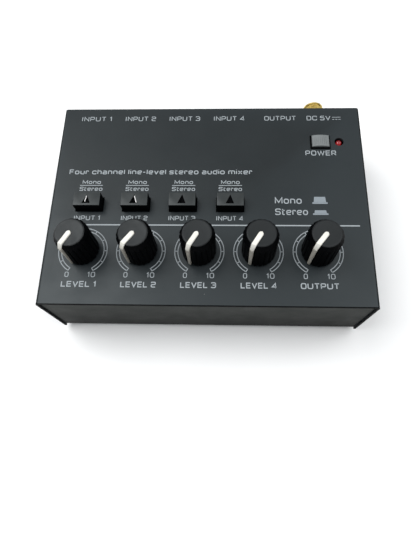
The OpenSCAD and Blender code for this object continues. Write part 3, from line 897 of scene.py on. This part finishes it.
def dc_collar():
    """Gold plated collar with a straight knurl between two plain bands."""
    low, high = span("dc_collar")
    centre = middle("dc_collar")
    length, outer, bore = high.y - low.y, (high.x - low.x) / 2, COLLAR_BORE_R
    profile = [
        (bore, 0.15, 0), (bore + 0.15, 0, 0), (outer - 0.6, 0, 0), (outer - 0.35, 0.25, 0),
        (outer - 0.35, 0.9, 0), (outer - 0.02, 1.3, 1), (outer, 1.5, 1), (outer, length - 2.2, 1),
        (outer - 0.02, length - 2.0, 1), (outer - 0.35, length - 1.7, 0), (outer - 0.35, length - 1.3, 0),
        (outer - 0.05, length - 1.1, 0), (outer - 0.05, length - 0.35, 0), (outer - 0.4, length, 0),
        (bore + 0.2, length, 0), (bore, length - 0.2, 0),
    ]
    bm = bmesh.new()
    turned(bm, profile, KNURLS * 6, along_y(centre.x, low.y, centre.z), knurl, hollow=True)
    piece = finish_mesh("knurled_collar", bm, "housing", "collar_brass", 30)
    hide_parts("dc_collar")


# ---- Printed legends ----

INK_T = 0.03
LINE = 0.36
CORNER = 0.3
LETTER_GAP = 0.42
SPACE = 0.55

# Height of a small letter, then the strokes of each letter, all in cap heights.
# A letter is its width and its lines; "o" closes a line and "|" keeps its corners.
LOW = 0.74
STEM = ("", [(0, 0), (0, 1)])
LOW_STEM = ("", [(0, 0), (0, LOW)])
LETTERS = {
    " ": (0, []),
    "-": (0.45, [("", [(0, 0.42), (0.45, 0.42)])]),
    "0": (0.9, [("o", [(0, 0), (0.9, 0), (0.9, 1), (0, 1)])]),
    "1": (0.42, [("|", [(0, 0.76), (0.3, 1), (0.3, 0)])]),
    "2": (0.9, [("", [(0, 0.8), (0, 1), (0.9, 1), (0.9, 0.52), (0, 0.52), (0, 0), (0.9, 0)])]),
    "3": (0.9, [
        ("", [(0, 0.84), (0, 1), (0.9, 1), (0.9, 0), (0, 0), (0, 0.16)]),
        ("", [(0.25, 0.53), (0.9, 0.53)]),
    ]),
    "4": (0.95, [("|", [(0.72, 0), (0.72, 1), (0, 0.26), (0.95, 0.26)])]),
    "5": (0.9, [("", [(0.9, 1), (0, 1), (0, 0.58), (0.9, 0.58), (0.9, 0), (0, 0), (0, 0.18)])]),
    "C": (0.95, [("", [(0.95, 0.72), (0.95, 1), (0, 1), (0, 0), (0.95, 0), (0.95, 0.28)])]),
    "D": (0.95, [STEM, ("", [(0, 1), (0.95, 1), (0.95, 0), (0, 0)])]),
    "E": (0.85, [("|", [(0.85, 1), (0, 1), (0, 0), (0.85, 0)]), ("", [(0, 0.5), (0.78, 0.5)])]),
    "F": (0.8, [("|", [(0.8, 1), (0, 1), (0, 0)]), ("", [(0, 0.5), (0.72, 0.5)])]),
    "I": (0.16, [("", [(0.08, 0), (0.08, 1)])]),
    "L": (0.8, [("|", [(0, 1), (0, 0), (0.8, 0)])]),
    "M": (1.25, [("|", [(0, 0), (0, 1), (0.62, 0.15), (1.25, 1), (1.25, 0)])]),
    "N": (0.95, [("|", [(0, 0), (0, 1), (0.95, 0), (0.95, 1)])]),
    "O": (0.95, [("o", [(0, 0), (0.95, 0), (0.95, 1), (0, 1)])]),
    "P": (0.9, [STEM, ("", [(0, 1), (0.9, 1), (0.9, 0.4), (0, 0.4)])]),
    "R": (0.92, [STEM, ("", [(0, 1), (0.9, 1), (0.9, 0.42), (0, 0.42)]), ("", [(0.5, 0.42), (0.92, 0)])]),
    "S": (0.9, [("", [(0.9, 0.82), (0.9, 1), (0, 1), (0, 0.52), (0.9, 0.52), (0.9, 0), (0, 0), (0, 0.18)])]),
    "T": (0.9, [("", [(0, 1), (0.9, 1)]), ("", [(0.45, 1), (0.45, 0)])]),
    "U": (0.95, [("", [(0, 1), (0, 0), (0.95, 0), (0.95, 1)])]),
    "V": (1.0, [("|", [(0, 1), (0.5, 0), (1.0, 1)])]),
    "W": (1.5, [("|", [(0, 1), (0.38, 0), (0.75, 0.95), (1.12, 0), (1.5, 1)])]),
    "a": (0.78, [
        ("", [(0.06, LOW), (0.78, LOW), (0.78, 0)]),
        ("", [(0.78, 0.42), (0, 0.42), (0, 0), (0.78, 0)]),
    ]),
    "c": (0.76, [("", [(0.76, 0.54), (0.76, LOW), (0, LOW), (0, 0), (0.76, 0), (0.76, 0.2)])]),
    "d": (0.8, [("", [(0.8, 1), (0.8, 0)]), ("", [(0.8, LOW), (0, LOW), (0, 0), (0.8, 0)])]),
    "e": (0.8, [("", [(0, 0.38), (0.8, 0.38), (0.8, LOW), (0, LOW), (0, 0), (0.76, 0)])]),
    "h": (0.76, [("", [(0, 1), (0, 0)]), ("", [(0, LOW), (0.76, LOW), (0.76, 0)])]),
    "i": (0, [LOW_STEM, ("", [(0, 0.94), (0, 1.04)])]),
    "l": (0, [STEM]),
    "m": (1.3, [LOW_STEM, ("", [(0, LOW), (1.3, LOW), (1.3, 0)]), ("", [(0.65, LOW), (0.65, 0)])]),
    "n": (0.76, [LOW_STEM, ("", [(0, LOW), (0.76, LOW), (0.76, 0)])]),
    "o": (0.8, [("o", [(0, 0), (0.8, 0), (0.8, LOW), (0, LOW)])]),
    "r": (0.5, [LOW_STEM, ("", [(0, LOW), (0.5, LOW), (0.5, 0.56)])]),
    "s": (0.74, [
        ("", [(0.74, 0.6), (0.74, LOW), (0, LOW), (0, 0.38), (0.74, 0.38), (0.74, 0), (0, 0), (0, 0.14)]),
    ]),
    "t": (0.5, [("", [(0.1, 1), (0.1, 0), (0.5, 0)]), ("", [(-0.06, LOW), (0.5, LOW)])]),
    "u": (0.76, [("", [(0, LOW), (0, 0), (0.76, 0)]), ("", [(0.76, LOW), (0.76, 0)])]),
    "v": (0.8, [("|", [(0, LOW), (0.4, 0), (0.8, LOW)])]),
    "x": (0.76, [("", [(0, 0), (0.76, LOW)]), ("", [(0, LOW), (0.76, 0)])]),
}


def rounded(points, reach, closed):
    """A line through the points whose corners are cut round, that far back from each corner."""
    count = len(points)
    line = []
    for k, corner in enumerate(points):
        if not closed and k in (0, count - 1):
            line.append(corner)
            continue
        before, after = points[k - 1] - corner, points[(k + 1) % count] - corner
        back = min(reach, 0.49 * before.length, 0.49 * after.length)
        start, end = corner + before.normalized() * back, corner + after.normalized() * back
        for step in range(5):
            t = step / 4
            line.append(start * (1 - t) ** 2 + corner * 2 * t * (1 - t) + end * t**2)
    return line


def offsets(line, half, closed):
    """Points on both sides of a line, half a stroke away, mitred where it turns."""
    sides = []
    for k, point in enumerate(line):
        before = line[k - 1] if closed or k > 0 else None
        after = line[(k + 1) % len(line)] if closed or k < len(line) - 1 else None
        into = (point - before).normalized() if before else (after - point).normalized()
        out = (after - point).normalized() if after else into
        mean = (into + out).normalized()
        across = Vector((-mean.y, mean.x)) * min(2.2, 1 / max(0.3, mean.dot(into))) * half
        sides.append((point + across, point - across))
    return sides


class Print:
    """White screen print on the top panel, gathered into one thin mesh."""

    def __init__(self, name, look="legend_ink"):
        self.name = name
        self.look = look
        self.bm = bmesh.new()

    def stroke(self, line, weight, closed=False):
        """Band of ink along a line."""
        rings = []
        for left, right in offsets(line, weight / 2, closed):
            corners = [(left, INK_T), (right, INK_T), (right, -INK_T), (left, -INK_T)]
            rings.append([self.bm.verts.new((p.x, p.y, PANEL_Z + lift)) for p, lift in corners])
        for first, second in zip(rings, rings[1:] + rings[:1] if closed else rings[1:]):
            ring_faces(self.bm, first, second)
        if not closed:
            self.bm.faces.new(rings[0])
            self.bm.faces.new(reversed(rings[-1]))

    def words(self, text, x0, x1, y0, y1, weight=0.4):
        """Lettering that fills a box, its strokes weight wide."""
        total = -LETTER_GAP
        for letter in text:
            total += LETTERS[letter][0] + LETTER_GAP if letter != " " else SPACE
        scale = Vector(((x1 - x0 - weight) / total, y1 - y0 - weight))
        start = Vector((x0 + weight / 2, y0 + weight / 2))
        pen = 0.0
        for letter in text:
            width, strokes = LETTERS[letter]
            for kind, points in strokes:
                line = [start + Vector(((pen + px) * scale.x, py * scale.y)) for px, py in points]
                if kind != "|" and len(line) > 2:
                    line = rounded(line, CORNER * scale.y, kind == "o")
                self.stroke(line, weight, kind == "o")
            pen += width + LETTER_GAP if letter != " " else SPACE

    def centred(self, text, x, width, y0, y1, weight=0.4):
        self.words(text, x - width / 2, x + width / 2, y0, y1, weight)

    def shape(self, outline):
        """Filled shape with straight sides."""
        prism(self.bm, outline, PANEL_Z - INK_T, PANEL_Z + INK_T)

    def bar(self, x0, x1, y0, y1):
        self.shape([(x0, y0), (x1, y0), (x1, y1), (x0, y1)])

    def arc(self, x, y, radius, start, end, steps):
        """Line along a circle from one angle to another, in degrees."""
        angles = [math.radians(start + (end - start) * k / steps) for k in range(steps + 1)]
        self.stroke([Vector((x + radius * math.cos(a), y + radius * math.sin(a))) for a in angles], LINE)

    def tick(self, x, y, r0, r1, angle):
        """Radial line at an angle in degrees."""
        out = Vector((math.cos(math.radians(angle)), math.sin(math.radians(angle))))
        self.stroke([Vector((x, y)) + out * r0, Vector((x, y)) + out * r1], LINE)

    def done(self):
        finish_mesh(self.name, self.bm, "housing", "pointer_plastic", look=self.look)


DIAL_R = [8.95, 10.25]
DIAL_BACK = 0.3
DIAL_GAP = 30.5
DIAL_MARKS = 11
NUMBER_Y = (-11.75, -9.45)
NAME_Y = (-16.0, -13.5)


def dials():
    """Scale around each knob: two arcs joined by eleven marks, its numbers and its name."""
    for i in LEVELS:
        centre = middle(f"level_shaft_{i}")
        x, y = centre.x, centre.y - DIAL_BACK
        ink = Print(f"dial_{i}")
        start, end = 270 + DIAL_GAP, 630 - DIAL_GAP
        for radius in DIAL_R:
            ink.arc(x, y, radius, start, end, 72)
        for k in range(DIAL_MARKS):
            reach = LINE / 2 if k in (0, DIAL_MARKS - 1) else 0
            angle = start + (end - start) * k / (DIAL_MARKS - 1)
            ink.tick(x, y, DIAL_R[0] - reach, DIAL_R[1] + reach, angle)
        for number, across, width in (("0", -5.6, 1.65), ("10", 4.7, 3.2)):
            ink.centred(number, x + across, width, y + NUMBER_Y[0], y + NUMBER_Y[1], 0.3)
        name, width = (f"LEVEL {i}", 14.6) if i in MONOS else ("OUTPUT", 15.4)
        ink.centred(name, x - 0.1, width, y + NAME_Y[0], y + NAME_Y[1], 0.43)
        ink.done()


REAR_ROW_Y = (-6.9, -4.4)
REAR_ROW_WEIGHT = 0.34


def rear_row():
    """Names of the sockets along the rear edge, and the sign for direct current."""
    edge = span("top_cover")[1].y
    low, high = (edge + y for y in REAR_ROW_Y)
    ink = Print("legend_sockets")
    for i in MONOS:
        ink.centred(f"INPUT {i}", middle(f"input_jack_{i}").x, 14.4, low, high, REAR_ROW_WEIGHT)
    ink.centred("OUTPUT", middle("output_jack").x, 14.6, low, high, REAR_ROW_WEIGHT)
    dc_x = middle("dc_inlet").x
    ink.words("DC 5V", dc_x - 6.0, dc_x + 4.9, low, high, 0.36)
    sign_x = [dc_x + 5.7, dc_x + 9.5]
    ink.bar(*sign_x, high - 0.95, high - 0.7)
    dash = (sign_x[1] - sign_x[0]) / 4
    for k in range(3):
        x = sign_x[0] + k * dash * 1.5
        ink.bar(x, x + dash, high - 2.15, high - 1.9)
    ink.done()


def power_name():
    low = span("power_button")[0]
    ink = Print("legend_power")
    ink.centred("POWER", middle("power_button").x - 0.05, 13.7, low.y - 3.0, low.y - 0.4)
    ink.done()


BUTTON_Y = middle("mono_button_1").y
TITLE = "Four channel line-level stereo audio mixer"
TITLE_X = (-62.6, 19.3)
TITLE_Y = (15.25, 17.75)


def title():
    """A plain description of the mixer, behind the mono/stereo buttons."""
    ink = Print("legend_title")
    ink.words(TITLE, *TITLE_X, BUTTON_Y + TITLE_Y[0], BUTTON_Y + TITLE_Y[1], 0.42)
    ink.done()


MONO_LABEL_X = -51.9
MONO_LABEL_PITCH = 20.53


def switch_names():
    """What each mono/stereo switch does, above it, and its channel, below it."""
    ink = Print("legend_switches")
    y = BUTTON_Y
    for i in MONOS:
        x = MONO_LABEL_X + MONO_LABEL_PITCH * (i - 1)
        ink.centred("Mono", x, 8.2, y + 10.3, y + 12.2, 0.31)
        ink.bar(x - 5.1, x + 5.1, y + 9.42, y + 9.72)
        ink.centred("Stereo", x, 10.2, y + 6.8, y + 8.8, 0.31)
        ink.centred(f"INPUT {i}", x - 0.2, 11.6, y - 7.6, y - 5.4, 0.33)
    ink.done()


KEY_X = 28.9
KEY_WEIGHT = 0.46


def button_key():
    """Key to the switches: a tall button means mono and a low one stereo."""
    ink = Print("legend_key")
    y = BUTTON_Y
    ink.words("Mono", KEY_X, 40.4, y + 0.6, y + 3.8, KEY_WEIGHT)
    ink.words("Stereo", KEY_X, 42.8, y - 4.8, y - 1.7, KEY_WEIGHT)
    ink.done()
    keys = Print("legend_key_shapes", "solid_ink")
    for base, top, lean in ((y + 0.6, y + 4.0, 0.3), (y - 4.7, y - 2.5, 0.3)):
        keys.bar(44.9, 51.4, base, base + 0.75)
        keys.shape([(45.5, base + 0.7), (50.8, base + 0.7), (50.8 - lean, top), (45.5 + lean, top)])
    keys.done()


DIVIDER_X = (-55.0, 64.1)
DIVIDER_Y = (-10.07, -9.52)


def dividing_line():
    """Line between the channel names and the level controls."""
    ink = Print("legend_line")
    ink.bar(*DIVIDER_X, BUTTON_Y + DIVIDER_Y[0], BUTTON_Y + DIVIDER_Y[1])
    ink.done()


# ---- Studio ----

FLOOR_SIDE = 3.0


def floor():
    """Large pale floor with a faint tooth."""
    look = Look("studio_floor", (0.93, 0.93, 0.93), 0.6)
    look.tint(look.ramp(look.noise(60, 3), 0.3, 0.7), (0.91, 0.91, 0.91))
    look.relief(look.noise(2, 3), 0.02)
    bm = bmesh.new()
    corners = rectangle(Vector((0, 0)), FLOOR_SIDE / 2, FLOOR_SIDE / 2)
    bm.faces.new([bm.verts.new((x, y, 0)) for x, y in corners])
    mesh = bpy.data.meshes.new("floor")
    bm.to_mesh(mesh)
    bm.free()
    plane = bpy.data.objects.new("floor", mesh)
    scene.collection.objects.link(plane)
    mesh.materials.append(look.material)


def softbox(name, place, target, size, power):
    """Square area light that faces a target."""
    light = bpy.data.lights.new(name, "AREA")
    light.shape = "RECTANGLE"
    light.size, light.size_y = size
    light.energy = power
    lamp = bpy.data.objects.new(name, light)
    scene.collection.objects.link(lamp)
    lamp.location = place
    lamp.rotation_euler = (Vector(target) - Vector(place)).to_track_quat("-Z", "Y").to_euler()


def sky():
    """Soft white surround that is dimmer towards the horizon."""
    world = bpy.data.worlds.new("studio")
    scene.world = world
    world.use_nodes = True
    tree = world.node_tree
    background = tree.nodes["Background"]
    background.inputs["Color"].default_value = (0.96, 0.985, 1.0, 1)
    direction = tree.nodes.new("ShaderNodeTexCoord")
    axes = tree.nodes.new("ShaderNodeSeparateXYZ")
    strength = tree.nodes.new("ShaderNodeMapRange")
    for socket, value in (("From Min", 0.0), ("From Max", 0.7), ("To Min", 0.12), ("To Max", 0.72)):
        strength.inputs[socket].default_value = value
    tree.links.new(direction.outputs["Generated"], axes.inputs["Vector"])
    tree.links.new(axes.outputs["Z"], strength.inputs["Value"])
    tree.links.new(strength.outputs["Result"], background.inputs["Strength"])


def studio_light():
    sky()
    softbox("left", (-0.55, 0.15, 0.95), (0, 0, 0), (0.8, 0.8), 8.5)
    softbox("right", (0.65, 0.1, 0.9), (0, 0, 0), (0.7, 0.9), 4)
    scene.view_settings.view_transform = "Standard"


CAMERA_RISE = 167.75
CAMERA_PLACE = Vector((8.44, -96.06, PANEL_Z + CAMERA_RISE))
CAMERA_AIM = Vector((-0.0379, 0.3307, -0.9430))
CAMERA_RIGHT = Vector((0.99924, 0.02123, -0.03271))
LENS = 28.16
SENSOR = 36.0


def camera():
    """Camera just ahead of the front edge and well above the panel, looking down on the mixer."""
    data = bpy.data.cameras.new("camera")
    data.lens = LENS
    data.sensor_width = SENSOR
    data.sensor_fit = "AUTO"
    data.clip_start = 0.01
    view = bpy.data.objects.new("camera", data)
    scene.collection.objects.link(view)
    aim = CAMERA_AIM.normalized()
    right = (CAMERA_RIGHT - aim * CAMERA_RIGHT.dot(aim)).normalized()
    axes = Matrix((right, right.cross(aim), -aim)).transposed()
    view.matrix_world = Matrix.Translation(CAMERA_PLACE * MM) @ axes.to_4x4()
    scene.camera = view


make_looks()
camera()
floor()
studio_light()
dress_nodes()
painted_edge_shade()
fold_shades()
level_controls()
springs()
mono_caps()
mark_legs()
power_cap()
power_lamp()
dc_collar()
dials()
rear_row()
power_name()
title()
switch_names()
button_key()
dividing_line()
